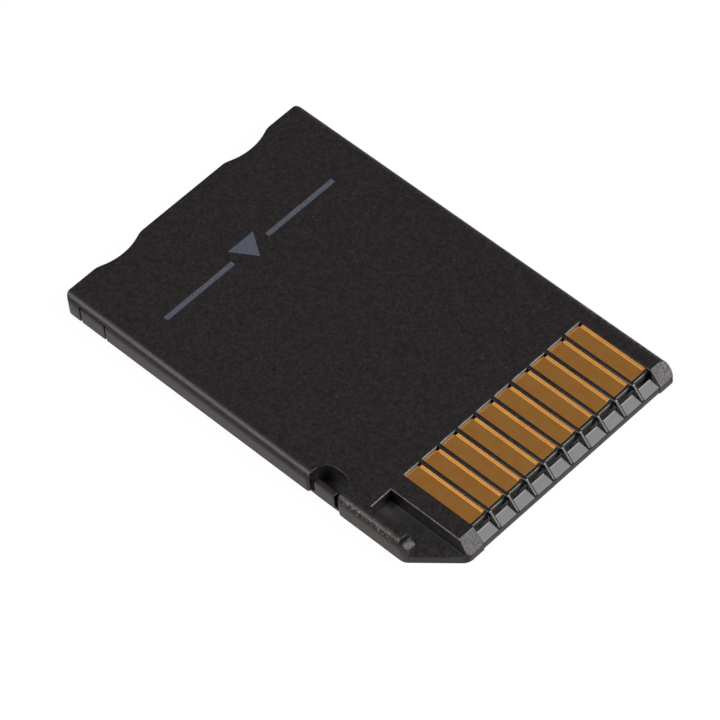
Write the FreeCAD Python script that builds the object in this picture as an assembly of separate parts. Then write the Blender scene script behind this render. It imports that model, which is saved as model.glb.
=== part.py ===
"""Flat memory card adapter: a stick-shaped card body that takes a tiny flash card in its rear slot.

Frame: +Z up with the contact side on top and the label side on z = 0, +X across the width
(the cut corner and the latch notch are on -X), and -Y towards the contact end.
The origin is at the middle of the underside. All sizes are in millimetres.
"""
import FreeCAD, Part
import math
import os

# Overall size of the card body
LENGTH = 31.0
WIDTH = 20.0
THICKNESS = 1.6

# Moulded shells
FACE_SKIN = 0.32            # contact-side plate of the main shell
WALL = 0.6                  # outer wall of the main shell
LID_THICKNESS = 0.25        # label-side shell, let into the main shell from below
LID_GAP = 0.04              # all round between the lid and the main shell
SIDE_ROUND = 0.5            # top edges of the two long sides
REAR_CORNER_ROUND = 0.5
FRONT_CORNER_ROUND = 0.3
UNDER_EDGE_CHAMFER = 0.04   # lower edges of the two long sides
RELEASE = 1.0               # how far a cutting solid runs past the surface that it opens

# Cut corner at the contact end
CUT_CORNER_ACROSS = 2.47
CUT_CORNER_ALONG = 2.87
CUT_CORNER_ROUND = 0.8

# Finger scallops in the slot end
SCALLOP_CENTRE = 5.43       # each side of the middle
SCALLOP_WIDTH = 4.15        # with the eased ends
SCALLOP_DEPTH = 0.43
SCALLOP_EASE = 1.3          # round that leads from the straight edge into the hollow

# Row of contact windows, counted from the cut-corner side
WINDOW_COUNT = 10
WINDOW_PITCH = 1.518
WINDOW_WIDTH = 1.235
WINDOW_FROM_SIDE = 3.79     # cut-corner side to the first window
WINDOW_FROM_END = 6.28      # contact end to the rear wall of the windows
WINDOW_LEAD_RUN = 0.15      # sloped lead-in above the rear wall
WINDOW_LEAD_DROP = 0.11

# Bevelled nose below the windows
BEVEL_RUN = 0.77
BEVEL_DROP = 1.05
SILL_WALL = 0.68            # front wall, from the contact end to the rear of its sill
SILL_HIGH = 0.98            # height of the sill at its rear edge
SILL_LOW = 0.58             # and at the nose
SILL_ROUND = 0.15           # its front edge
NOSE_SETBACK = 0.04         # the nose lies this far behind the two corner pads
NOSE_ROUND = 0.35           # where the ribs turn down into the nose
NOSE_FOOT_HEIGHT = 0.2      # the foot of the nose steps back
NOSE_FOOT_SETBACK = 0.035

# Sunk corner beside the windows
RECESS_FROM_SIDE = 2.56     # side of the card to the long wall of the recess
RECESS_FROM_END = 6.17      # contact end to the rear wall of the recess
RECESS_FLOOR = 0.6          # height of its floor above the underside
RECESS_RIM = 0.9            # width of the rim left along the side
RECESS_DRAFT = 0.12         # the long wall leans out this much at its foot
RECESS_WALL = 0.35          # wall between the recess and the inside
RECESS_ROUND = 0.12
RIM_NICK_FROM_END = 3.14
RIM_NICK_WIDTH = 0.24
RIM_NICK_DEPTH = 0.24
RIM_END_FROM_END = 2.91     # the rim slopes off from here
RIM_END_RUN = 0.3
RIM_END_DROP = 0.34
RIM_END_STEP = 0.1

# Latch notch in the same side
NOTCH_FROM_END = 9.3
NOTCH_WIDTH = 2.36
NOTCH_DEPTH = 1.54
NOTCH_ROUND = 0.95
NOTCH_MOUTH_ROUND = 0.22
NOTCH_WALL = 0.35
NOTCH_TAB_LENGTH = 1.62
NOTCH_TAB_HEIGHT = 1.2
NOTCH_TAB_SETBACK = 0.14
NOTCH_TAB_THICKNESS = 0.4
NOTCH_TAB_CHAMFER = 0.1

# Snap tabs of the lid, seen in the two sides
TAB_LENGTH = 2.0
TAB_FROM_REAR = 2.4         # slot end to the middle of the tab
TAB_HEIGHT = 1.27
TAB_THICKNESS = 0.5
TAB_GAP = 0.12
LONG_TAB_LENGTH = 2.8       # front tab, in the side away from the notch
LONG_TAB_FROM_END = 5.9
LONG_TAB_SETBACK = 0.1

# Slot for the small flash card
CARD_WIDTH = 11.0
CARD_LENGTH = 15.0
CARD_THICKNESS = 0.7
CARD_SIDE_GAP = 0.15
CARD_STANDS_OUT = 0.15      # small card's rear edge inside the slot end when it is home
SLOT_LEAD_IN = 0.2
GUIDE_WALL = 0.6
LID_TONGUE_OVERLAP = 0.35   # lid reaches under each guide wall at the slot mouth
CORE_RIB = 0.6
CORE_COUNT = 3
CORE_ROUND = 0.3

# Circuit board and its gold contact pads
BOARD_THICKNESS = 0.5
BOARD_SIDE_GAP = 0.1
BOARD_FRONT_GAP = 0.32      # open gap between the board and the sill
BOARD_EDGE_CHAMFER = 0.05   # upper front edge of the board
BOARD_ROUND = 0.35
PAD_GAP = 0.01              # between a pad and the walls of its window
PAD_FRONT_MARGIN = 0.22     # bare board in front of a pad
PAD_THICKNESS = 0.03
PAD_ROUND = 0.08
POST_RADIUS = 0.4
POST_INSET = 1.1

# Comb that holds the spring contacts apart and stops the small card
COMB_LENGTH = 1.1
COMB_GAP = 0.05
COMB_END = 1.1              # solid end past the last slot on each side
COMB_SLOT_FLOOR = 1.1       # height above the underside
COMB_PEG_RADIUS = 0.3
COMB_PEG_HEIGHT = 0.6
COMB_PEG_GAP = 0.03

# Spring contacts
SPRING_COUNT = 8
SPRING_PITCH = 1.1
SPRING_WIDTH = 0.5
SPRING_STRIP = 0.08
SPRING_SIDE_GAP = 0.06
SPRING_FOOT = 0.6
SPRING_SOLDER = 0.04        # film of solder under the foot
SPRING_REACH = 3.75         # bend at the foot to the contact point
SPRING_FALL = 0.5           # the contact point lies this far below the foot
SPRING_TIP_RUN = 0.45
SPRING_TIP_RISE = 0.12
SPRING_BEND = 0.25
SPRING_TIP_BEND = 0.2
SPRING_RELIEF = 0.14        # pocket in the plate above the springs
SPRING_RELIEF_MARGIN = 0.15

# Parts under the board
CHIP_SIDE = 5.0
CHIP_HEIGHT = 0.42
CHIP_OFF_MIDDLE = 1.0       # away from the sunk corner
CHIP_CHAMFER = 0.1
CHIP_DIMPLE_RADIUS = 0.3
CHIP_DIMPLE_DEPTH = 0.08
LEAD_WIDTH = 0.24
LEAD_LENGTH = 0.4
LEAD_HEIGHT = 0.12
LEAD_OUT = 0.03
LEAD_PITCH = 0.5
LEADS_PER_SIDE = 8
CAPACITOR_LENGTH = 1.0
CAPACITOR_WIDTH = 0.5
CAPACITOR_HEIGHT = 0.36
RESISTOR_HEIGHT = 0.24
END_CAP_LENGTH = 0.24
END_CAP_STEP = 0.02
PASSIVE_FROM_CHIP = 2.2     # side of the chip to the middle of a capacitor
PASSIVE_PITCH = 2.0
CAPACITORS = ((-1, 1), (-1, 0), (1, 1), (1, -1))    # side of the chip and place along it
RESISTORS = ((-1, -1), (1, 0))

# Places worked out from the sizes above
HALF_W = WIDTH / 2
HALF_L = LENGTH / 2
PLATE_Z = THICKNESS - FACE_SKIN
BOARD_Z = PLATE_Z - BOARD_THICKNESS
WINDOW_X = -HALF_W + WINDOW_FROM_SIDE
WINDOW_REAR_Y = -HALF_L + WINDOW_FROM_END
WINDOW_ROW = (WINDOW_COUNT - 1) * WINDOW_PITCH + WINDOW_WIDTH
NOSE_Y = -HALF_L + NOSE_SETBACK
SILL_Y = -HALF_L + SILL_WALL
RECESS_X = -HALF_W + RECESS_FROM_SIDE
RECESS_Y = -HALF_L + RECESS_FROM_END
RIM_X = -HALF_W + RECESS_RIM
NOTCH_Y = -HALF_L + NOTCH_FROM_END
TAB_Y = HALF_L - TAB_FROM_REAR
LONG_TAB_Y = -HALF_L + LONG_TAB_FROM_END
TUNNEL_HALF = CARD_WIDTH / 2 + CARD_SIDE_GAP
CARD_STOP_Y = HALF_L - CARD_STANDS_OUT - CARD_LENGTH
COMB_FRONT_Y = CARD_STOP_Y - COMB_LENGTH
BOARD_REAR_Y = COMB_FRONT_Y - COMB_GAP
BOARD_FRONT_Y = SILL_Y + BOARD_FRONT_GAP
SPRING_ROW = (SPRING_COUNT - 1) * SPRING_PITCH
COMB_HALF = SPRING_ROW / 2 + SPRING_WIDTH / 2 + SPRING_SIDE_GAP + COMB_END
COMB_PEG_X = SPRING_ROW / 2 + SPRING_WIDTH / 2 + SPRING_SIDE_GAP + COMB_END / 2
COMB_PEG_Y = CARD_STOP_Y - COMB_LENGTH / 2
CHIP_X = (RECESS_X + RECESS_WALL + HALF_W - WALL) / 2 + CHIP_OFF_MIDDLE
CHIP_Y = (BOARD_FRONT_Y + BOARD_REAR_Y) / 2
SPRING_BEND_Y = BOARD_REAR_Y - COMB_GAP
SPRING_FOOT_Z = PLATE_Z + SPRING_SOLDER + SPRING_STRIP / 2


def vec(x, y, z=0.0):
    return FreeCAD.Vector(x, y, z)


def block(x0, x1, y0, y1, z0, z1):
    """A plain box between two corners, given in any order."""
    low = vec(min(x0, x1), min(y0, y1), min(z0, z1))
    return Part.makeBox(abs(x1 - x0), abs(y1 - y0), abs(z1 - z0), low)


def rounded_face(corners):
    """A flat face through the corners, each given as a point and the radius that rounds it."""
    count = len(corners)
    edges = []
    ends = []
    for i, (here, radius) in enumerate(corners):
        before = corners[i - 1][0]
        after = corners[(i + 1) % count][0]
        back = (before - here).normalize()
        ahead = (after - here).normalize()
        half = back.getAngle(ahead) / 2
        if radius <= 0 or abs(half - math.pi / 2) < 1e-6:
            ends.append((here, here))
            continue
        cut = radius / math.tan(half)
        middle = here + (back + ahead).normalize() * (radius / math.sin(half) - radius)
        start = here + back * cut
        end = here + ahead * cut
        ends.append((start, end))
        edges.append(Part.Arc(start, middle, end).toShape())
    for i, (start, end) in enumerate(ends):
        following = ends[(i + 1) % count][0]
        if end.distanceToPoint(following) > 1e-6:
            edges.append(Part.makeLine(end, following))
    return Part.Face(Part.Wire(Part.__sortEdges__(edges)))


def plan_prism(corners, z0, z1):
    """Corners in plan, as (x, y, radius), drawn at z0 and raised to z1."""
    face = rounded_face([(vec(x, y, z0), radius) for x, y, radius in corners])
    return face.extrude(vec(0, 0, z1 - z0))


def side_prism(corners, x0, x1):
    """Corners seen from the side, as (y, z, radius), drawn at x0 and drawn out to x1."""
    face = rounded_face([(vec(x0, y, z), radius) for y, z, radius in corners])
    return face.extrude(vec(x1 - x0, 0, 0))


def outline_corners(inset=0.0):
    """The card's outline in plan, moved in by an even inset, from the rear on the notch side."""
    side = HALF_W - inset
    end = HALF_L - inset
    slope = math.hypot(CUT_CORNER_ACROSS, CUT_CORNER_ALONG)
    shift = inset * (slope - CUT_CORNER_ACROSS - CUT_CORNER_ALONG)
    across = CUT_CORNER_ACROSS + shift / CUT_CORNER_ALONG
    along = CUT_CORNER_ALONG + shift / CUT_CORNER_ACROSS
    return [
        (-side, end, max(REAR_CORNER_ROUND - inset, 0.1)),
        (side, end, max(REAR_CORNER_ROUND - inset, 0.1)),
        (side, -end, max(FRONT_CORNER_ROUND - inset, 0.1)),
        (-side + across, -end, max(CUT_CORNER_ROUND - inset, 0.1)),
        (-side, -end + along, max(CUT_CORNER_ROUND - inset, 0.1)),
    ]


def scallop_corners():
    """The slot end's two shallow hollows, each an arc between two easing rounds that meet it."""
    turn = 2 * math.atan(2 * SCALLOP_DEPTH / SCALLOP_WIDTH)
    hollow = SCALLOP_WIDTH / 2 / math.sin(turn) - SCALLOP_EASE
    lead = SCALLOP_EASE * math.tan(turn / 2)
    reach = SCALLOP_WIDTH / 2 - lead
    depth = (hollow * math.tan(turn) + lead) * math.sin(turn)
    corners = []
    for x in (-SCALLOP_CENTRE, SCALLOP_CENTRE):
        corners += [(x - reach, HALF_L, SCALLOP_EASE), (x, HALF_L - depth, hollow),
                    (x + reach, HALF_L, SCALLOP_EASE)]
    return corners


def card_plan(z0, z1):
    """The card's plan outline with its scalloped rear, as a prism."""
    corners = outline_corners()
    return plan_prism(corners[:1] + scallop_corners() + corners[1:], z0, z1)


def card_blank():
    """The whole outer form: plan outline and rounded long sides."""
    section = [
        (vec(-HALF_W + UNDER_EDGE_CHAMFER, -HALF_L, 0), 0),
        (vec(HALF_W - UNDER_EDGE_CHAMFER, -HALF_L, 0), 0),
        (vec(HALF_W, -HALF_L, UNDER_EDGE_CHAMFER), 0),
        (vec(HALF_W, -HALF_L, THICKNESS), SIDE_ROUND),
        (vec(-HALF_W, -HALF_L, THICKNESS), SIDE_ROUND),
        (vec(-HALF_W, -HALF_L, UNDER_EDGE_CHAMFER), 0),
    ]
    bar = rounded_face(section).extrude(vec(0, LENGTH, 0))
    return card_plan(0, THICKNESS).common(bar)


def bevel():
    """Cutter for the sloped nose, as wide as the card."""
    slope = BEVEL_DROP / BEVEL_RUN
    corners = [
        (-HALF_L + BEVEL_RUN + RELEASE, THICKNESS + RELEASE * slope, 0),
        (-HALF_L - RELEASE, THICKNESS + RELEASE * slope, 0),
        (-HALF_L - RELEASE, THICKNESS - BEVEL_DROP - RELEASE * slope, 0),
    ]
    return side_prism(corners, -HALF_W - RELEASE, HALF_W + RELEASE)


def nose_front():
    """Cutter that sets the nose back between the corner pads and rounds the ends of its ribs."""
    front = NOSE_Y
    foot = front + NOSE_FOOT_SETBACK
    x0 = WINDOW_X - WINDOW_WIDTH * 0.05
    x1 = WINDOW_X + WINDOW_ROW
    slope = BEVEL_DROP / BEVEL_RUN
    low = THICKNESS - BEVEL_DROP
    corners = [
        (-HALF_L - RELEASE, -RELEASE, 0),
        (foot, -RELEASE, 0),
        (foot, NOSE_FOOT_HEIGHT, 0),
        (front, NOSE_FOOT_HEIGHT, 0),
        (front, low + NOSE_SETBACK * slope, NOSE_ROUND),
        (-HALF_L + BEVEL_RUN, THICKNESS, 0),
        (-HALF_L + BEVEL_RUN, THICKNESS + RELEASE, 0),
        (-HALF_L - RELEASE, THICKNESS + RELEASE, 0),
    ]
    return side_prism(corners, x0, x1)


def window(index):
    """Cutter for one contact window: lead-in, plate, sloping sill and its rounded front edge."""
    x0 = WINDOW_X + index * WINDOW_PITCH
    lead_y = WINDOW_REAR_Y + WINDOW_LEAD_RUN * (WINDOW_LEAD_DROP + RELEASE) / WINDOW_LEAD_DROP
    fall = math.atan2(SILL_HIGH - SILL_LOW, SILL_Y - NOSE_Y)
    lip = SILL_LOW - SILL_ROUND * math.tan((math.pi / 2 - fall) / 2)
    corners = [
        (lead_y, THICKNESS + RELEASE, 0),
        (WINDOW_REAR_Y, THICKNESS - WINDOW_LEAD_DROP, 0),
        (WINDOW_REAR_Y, PLATE_Z - PAD_THICKNESS, 0),
        (SILL_Y, PLATE_Z - PAD_THICKNESS, 0),
        (SILL_Y, SILL_HIGH, 0),
        (NOSE_Y, SILL_LOW, SILL_ROUND),
        (NOSE_Y, lip, 0),
        (-HALF_L - RELEASE, lip, 0),
        (-HALF_L - RELEASE, THICKNESS + RELEASE, 0),
    ]
    return side_prism(corners, x0, x0 + WINDOW_WIDTH)


def recess():
    """Cutter for the sunk corner, with a leaning long wall, and for the end of its rim."""
    rear = RECESS_Y
    end = -HALF_L - RELEASE
    foot = RECESS_X - RECESS_DRAFT
    section = [
        (vec(RIM_X, end, THICKNESS + RELEASE), 0),
        (vec(RIM_X, end, RECESS_FLOOR), RECESS_ROUND),
        (vec(foot, end, RECESS_FLOOR), RECESS_ROUND),
        (vec(RECESS_X, end, THICKNESS), 0),
        (vec(RECESS_X, end, THICKNESS + RELEASE), 0),
    ]
    pocket = rounded_face(section).extrude(vec(0, rear - end, 0))
    rim_end = -HALF_L + RIM_END_FROM_END
    slope_end = rim_end - RIM_END_RUN
    step_z = THICKNESS - RIM_END_STEP
    rim_profile = [
        (rim_end, THICKNESS + RELEASE, 0),
        (rim_end, step_z, 0),
        (slope_end, step_z - RIM_END_DROP, 0),
        (slope_end, RECESS_FLOOR, 0),
        (end, RECESS_FLOOR, 0),
        (end, THICKNESS + RELEASE, 0),
    ]
    rim = side_prism(rim_profile, -HALF_W - RELEASE, RIM_X + RECESS_ROUND)
    nick_y = -HALF_L + RIM_NICK_FROM_END
    nick_half = RIM_NICK_WIDTH / 2
    nick = block(-HALF_W - RELEASE, RIM_X, nick_y - nick_half, nick_y + nick_half,
                 THICKNESS - RIM_NICK_DEPTH, THICKNESS + RELEASE)
    return [pocket, rim, nick]


def notch_prism(growth, z0, z1):
    """The latch notch in plan as a prism, made larger all round by growth."""
    inner = -HALF_W + NOTCH_DEPTH + growth
    half = NOTCH_WIDTH / 2 + growth
    corners = [
        (-HALF_W - RELEASE, NOTCH_Y - half, 0),
        (inner, NOTCH_Y - half, NOTCH_ROUND + growth),
        (inner, NOTCH_Y + half, NOTCH_ROUND + growth),
        (-HALF_W - RELEASE, NOTCH_Y + half, 0),
    ]
    return plan_prism(corners, z0, z1)


def notch_mouth():
    """Two small cutters that round the upright corners where the notch meets the side."""
    half = NOTCH_WIDTH / 2
    r = NOTCH_MOUTH_ROUND
    cutters = []
    for side in (-1, 1):
        corner_y = NOTCH_Y + side * half
        square = block(-HALF_W - RELEASE, -HALF_W + r, corner_y - side * RELEASE / 2,
                       corner_y + side * r, -RELEASE, THICKNESS + RELEASE)
        foot = vec(-HALF_W + r, corner_y + side * r, -2 * RELEASE)
        post = Part.makeCylinder(r, THICKNESS + 4 * RELEASE, foot)
        beyond = block(-HALF_W + r, HALF_W, corner_y - RELEASE, corner_y + RELEASE,
                       -2 * RELEASE, THICKNESS + 2 * RELEASE)
        cutters.append(square.cut(post).cut(beyond))
    return cutters


def board_space(gap):
    """Room for the board and what hangs from it, or with a gap the board itself.

    It is right across at the rear and stepped past the notch and the sunk corner.
    """
    side = HALF_W - WALL - gap
    front = BOARD_FRONT_Y if gap else SILL_Y
    rear = BOARD_REAR_Y if gap else CARD_STOP_Y
    bottom = BOARD_Z if gap else LID_THICKNESS
    corners = [(-side, rear), (side, rear), (side, front), (-side, front)]
    space = plan_prism([(x, y, BOARD_ROUND) for x, y in corners], bottom, PLATE_Z)
    steps = (
        (-HALF_W + NOTCH_DEPTH + NOTCH_WALL + gap, NOTCH_Y + NOTCH_WIDTH / 2 + NOTCH_WALL + gap),
        (RECESS_X + RECESS_WALL + gap, RECESS_Y + RECESS_WALL + gap),
    )
    for step_x, step_y in steps:
        corners = [
            (-HALF_W, -HALF_L, 0), (step_x, -HALF_L, 0),
            (step_x, step_y, BOARD_ROUND), (-HALF_W, step_y, 0),
        ]
        space = space.cut(plan_prism(corners, 0, THICKNESS))
    return space


def core_pockets():
    """Hollows between the card guides and the outer walls, parted by cross ribs."""
    inner = TUNNEL_HALF + GUIDE_WALL
    outer = HALF_W - WALL
    front = CARD_STOP_Y + CORE_RIB
    rear = HALF_L - WALL
    length = (rear - front - (CORE_COUNT - 1) * CORE_RIB) / CORE_COUNT
    pockets = []
    for side in (-1, 1):
        for i in range(CORE_COUNT):
            y0 = front + i * (length + CORE_RIB)
            corners = [(side * inner, y0, CORE_ROUND), (side * outer, y0, CORE_ROUND),
                       (side * outer, y0 + length, CORE_ROUND), (side * inner, y0 + length, CORE_ROUND)]
            pockets.append(plan_prism(corners, -RELEASE, PLATE_Z))
    return pockets


def card_tunnel():
    """The space for the small card, open at the rear with a lead-in."""
    front = CARD_STOP_Y - CORE_ROUND
    tunnel = block(-TUNNEL_HALF, TUNNEL_HALF, front, HALF_L + RELEASE, -RELEASE, PLATE_Z)
    wide = TUNNEL_HALF + SLOT_LEAD_IN + RELEASE
    corners = [
        (-wide, HALF_L + RELEASE, 0), (-TUNNEL_HALF, HALF_L - SLOT_LEAD_IN, 0),
        (TUNNEL_HALF, HALF_L - SLOT_LEAD_IN, 0), (wide, HALF_L + RELEASE, 0),
    ]
    return [tunnel, plan_prism(corners, LID_THICKNESS, PLATE_Z)]


def lid_corners(gap):
    """Plan of the lid, or of the opening for it, as the card outline inside the walls."""
    return outline_corners(WALL + gap)


def lid_tongue(gap, z0, z1):
    """The part of the lid that runs on under the slot mouth to the rear edge."""
    half = TUNNEL_HALF + LID_TONGUE_OVERLAP - gap
    return block(-half, half, CARD_STOP_Y, HALF_L + RELEASE * (gap == 0), z0, z1)


def side_tabs(gap, grown_height):
    """Upright tabs of the lid at the card's sides, or with a gap the slots that take them."""
    half = TAB_LENGTH / 2 + gap
    long_half = LONG_TAB_LENGTH / 2 + gap
    top = TAB_HEIGHT + grown_height
    bottom = -RELEASE if gap else 0
    depth = max(TAB_THICKNESS, WALL + LID_GAP)
    face = HALF_W + (RELEASE if gap else 0)
    inner = HALF_W - depth
    tabs = []
    for side in (-1, 1):
        tabs.append(block(side * face, side * inner, TAB_Y - half, TAB_Y + half, bottom, top))
    long_face = face if gap else HALF_W - LONG_TAB_SETBACK
    front = LONG_TAB_Y - long_half
    tabs.append(block(long_face, inner, front, LONG_TAB_Y + long_half, bottom, top))
    return tabs


def spring_relief():
    """Shallow pocket in the plate that leaves the spring contacts room to move."""
    half = SPRING_ROW / 2 + SPRING_WIDTH / 2 + SPRING_RELIEF_MARGIN
    y0 = SPRING_BEND_Y - SPRING_FOOT - SPRING_RELIEF_MARGIN
    y1 = CARD_STOP_Y + SPRING_REACH / 4
    return block(-half, half, y0, y1, PLATE_Z - RELEASE / 4, PLATE_Z + SPRING_RELIEF)


def contact_side_shell():
    """Main shell: plate, walls, windows, nose, sunk corner, notch and card guides in one moulding."""
    shell = card_blank().cut([bevel(), nose_front()])
    inside = board_space(0)
    lid_space = plan_prism(lid_corners(0), -RELEASE, LID_THICKNESS)
    notch_wall = notch_prism(NOTCH_WALL, LID_THICKNESS, PLATE_Z).common(card_blank())
    shell = shell.cut([inside.cut(notch_wall), lid_space, lid_tongue(0, -RELEASE, LID_THICKNESS)])
    shell = shell.cut(card_tunnel() + core_pockets() + [spring_relief()])
    shell = shell.cut(side_tabs(TAB_GAP, TAB_GAP / 2))
    shell = shell.cut([window(i) for i in range(WINDOW_COUNT)])
    shell = shell.cut(recess())
    shell = shell.cut([notch_prism(0, -RELEASE, THICKNESS + RELEASE)] + notch_mouth())
    return shell.removeSplitter()


def label_side_shell():
    """Lid: flat plate with snap tabs, the block in the notch, board posts and comb pegs."""
    plate = plan_prism(lid_corners(LID_GAP), 0, LID_THICKNESS)
    tongue = lid_tongue(LID_GAP, 0, LID_THICKNESS).common(card_plan(0, THICKNESS))
    tabs = [tab.common(card_blank()) for tab in side_tabs(0, 0)]
    notch_face = -HALF_W + NOTCH_TAB_SETBACK
    half = NOTCH_TAB_LENGTH / 2
    block_profile = [
        (NOTCH_Y - half, 0, 0),
        (NOTCH_Y + half, 0, 0),
        (NOTCH_Y + half, NOTCH_TAB_HEIGHT, NOTCH_TAB_CHAMFER),
        (NOTCH_Y - half, NOTCH_TAB_HEIGHT, NOTCH_TAB_CHAMFER),
    ]
    upright = side_prism(block_profile, notch_face, notch_face + NOTCH_TAB_THICKNESS)
    foot_end = -HALF_W + WALL + NOTCH_DEPTH
    foot = block(notch_face, foot_end, NOTCH_Y - half, NOTCH_Y + half, 0, LID_THICKNESS)
    lid = plate.fuse([tongue, upright, foot] + tabs)
    for x, y in board_posts():
        lid = lid.fuse(Part.makeCylinder(POST_RADIUS, BOARD_Z, vec(x, y, 0)))
    for side in (-1, 1):
        peg_height = LID_THICKNESS + COMB_PEG_HEIGHT
        foot = vec(side * COMB_PEG_X, COMB_PEG_Y, 0)
        lid = lid.fuse(Part.makeCylinder(COMB_PEG_RADIUS, peg_height, foot))
    return lid.removeSplitter()


def board_posts():
    """Places of the posts that press the board up against the plate."""
    side = HALF_W - WALL - POST_INSET
    front = BOARD_FRONT_Y + POST_INSET
    rear = BOARD_REAR_Y - POST_INSET
    return [(side, front), (RECESS_X + RECESS_WALL + POST_INSET, front), (side, rear), (-side, rear)]


def circuit_board():
    """Stepped board under the plate, as wide as the shell allows, with its front edge eased."""
    corners = [
        (BOARD_FRONT_Y - RELEASE, PLATE_Z + RELEASE, 0),
        (BOARD_FRONT_Y + BOARD_EDGE_CHAMFER + RELEASE, PLATE_Z + RELEASE, 0),
        (BOARD_FRONT_Y - RELEASE, PLATE_Z - BOARD_EDGE_CHAMFER - RELEASE, 0),
    ]
    return board_space(BOARD_SIDE_GAP).cut(side_prism(corners, -HALF_W, HALF_W))


def contact_pad(index):
    """One gold pad that fills its window, almost out to the board's front edge."""
    left = WINDOW_X + index * WINDOW_PITCH + PAD_GAP
    right = left + WINDOW_WIDTH - 2 * PAD_GAP
    rear = WINDOW_REAR_Y - PAD_GAP
    front = BOARD_FRONT_Y + PAD_FRONT_MARGIN
    corners = [
        (left, rear, PAD_ROUND), (right, rear, PAD_ROUND),
        (right, front, PAD_ROUND), (left, front, PAD_ROUND),
    ]
    return plan_prism(corners, PLATE_Z, PLATE_Z + PAD_THICKNESS)


def spring_places():
    """Middle of each spring contact across the card."""
    return [-SPRING_ROW / 2 + i * SPRING_PITCH for i in range(SPRING_COUNT)]


def contact_comb():
    """Moulded bar with an open slot round each spring contact and a hole for each lid peg."""
    comb = block(-COMB_HALF, COMB_HALF, COMB_FRONT_Y, CARD_STOP_Y, LID_THICKNESS, PLATE_Z)
    half = SPRING_WIDTH / 2 + SPRING_SIDE_GAP
    for x in spring_places():
        comb = comb.cut(block(x - half, x + half, COMB_FRONT_Y - RELEASE, CARD_STOP_Y + RELEASE,
                              COMB_SLOT_FLOOR, PLATE_Z + RELEASE))
    hole = COMB_PEG_RADIUS + COMB_PEG_GAP
    for side in (-1, 1):
        place = vec(side * COMB_PEG_X, COMB_PEG_Y, 0)
        comb = comb.cut(Part.makeCylinder(hole, LID_THICKNESS + COMB_PEG_HEIGHT + COMB_PEG_GAP, place))
    return comb


def strip_face(path, thickness, x):
    """Face of a bent strip from its middle line, given as (y, z, bend radius)."""
    points = [vec(x, y, z) for y, z, bend in path]
    normals = []
    for a, b in zip(points, points[1:]):
        along = (b - a).normalize()
        normals.append(vec(0, -along.z, along.y))
    upper = []
    lower = []
    for i, (point, (y, z, bend)) in enumerate(zip(points, path)):
        first = normals[max(i - 1, 0)]
        second = normals[min(i, len(normals) - 1)]
        mitre = (first + second).normalize()
        reach = thickness / 2 / math.cos(first.getAngle(second) / 2)
        turn = first.y * second.z - first.z * second.y
        grow = 0 if abs(turn) < 1e-9 else math.copysign(thickness / 2, turn)
        upper.append((point + mitre * reach, bend - grow if bend else 0))
        lower.append((point - mitre * reach, bend + grow if bend else 0))
    return rounded_face(upper + lower[::-1])


def spring_contact(middle):
    """One bent strip: soldered foot, falling beam, contact bend and turned-up tip."""
    contact_y = SPRING_BEND_Y + SPRING_REACH
    contact_z = SPRING_FOOT_Z - SPRING_FALL
    path = [
        (SPRING_BEND_Y - SPRING_FOOT, SPRING_FOOT_Z, 0),
        (SPRING_BEND_Y, SPRING_FOOT_Z, SPRING_BEND),
        (contact_y, contact_z, SPRING_TIP_BEND),
        (contact_y + SPRING_TIP_RUN, contact_z + SPRING_TIP_RISE, 0),
    ]
    face = strip_face(path, SPRING_STRIP, middle - SPRING_WIDTH / 2)
    return face.extrude(vec(SPRING_WIDTH, 0, 0))


def chip_leads():
    """Solder leads along the four sides of the controller, against the board."""
    leads = []
    reach = CHIP_SIDE / 2 + LEAD_OUT
    row = (LEADS_PER_SIDE - 1) * LEAD_PITCH
    for quarter in range(4):
        for i in range(LEADS_PER_SIDE):
            along = -row / 2 + i * LEAD_PITCH
            lead = block(reach - LEAD_LENGTH, reach, along - LEAD_WIDTH / 2, along + LEAD_WIDTH / 2,
                         BOARD_Z - LEAD_HEIGHT, BOARD_Z)
            lead.rotate(vec(0, 0, 0), vec(0, 0, 1), 90 * quarter)
            lead.translate(vec(CHIP_X, CHIP_Y))
            leads.append(lead)
    return Part.makeCompound(leads)


def controller_chip(leads):
    """Moulded body of the controller, with bevelled lower edges and a dimple at one corner."""
    half = CHIP_SIDE / 2
    low = BOARD_Z - CHIP_HEIGHT
    body = block(CHIP_X - half, CHIP_X + half, CHIP_Y - half, CHIP_Y + half, low, BOARD_Z)
    lower_edges = [edge for edge in body.Edges if edge.BoundBox.ZMax < low + 1e-6]
    body = body.makeChamfer(CHIP_CHAMFER, lower_edges)
    corner = half - CHIP_CHAMFER - 2 * CHIP_DIMPLE_RADIUS
    place = vec(CHIP_X - corner, CHIP_Y + corner, low)
    dimple = Part.makeCylinder(CHIP_DIMPLE_RADIUS, CHIP_DIMPLE_DEPTH, place)
    return body.cut([dimple, leads])


def passive(side, place, height):
    """A capacitor or resistor beside the chip, with plated ends a little proud of its body."""
    x = CHIP_X + side * (CHIP_SIDE / 2 + PASSIVE_FROM_CHIP)
    y = CHIP_Y + place * PASSIVE_PITCH
    half_l = CAPACITOR_LENGTH / 2
    half_w = CAPACITOR_WIDTH / 2
    step = END_CAP_STEP
    body = block(x - half_l, x + half_l, y - half_w + step, y + half_w - step,
                 BOARD_Z - height + step, BOARD_Z - step)
    for end in (-1, 1):
        cap = block(x + end * half_l, x + end * (half_l - END_CAP_LENGTH), y - half_w, y + half_w,
                    BOARD_Z - height, BOARD_Z)
        body = body.fuse(cap)
    return body


def export(name, shape):
    if not shape.isValid():
        raise ValueError(name + " is not a valid solid")
    shape.exportStep("parts/" + name + ".step")


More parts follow.
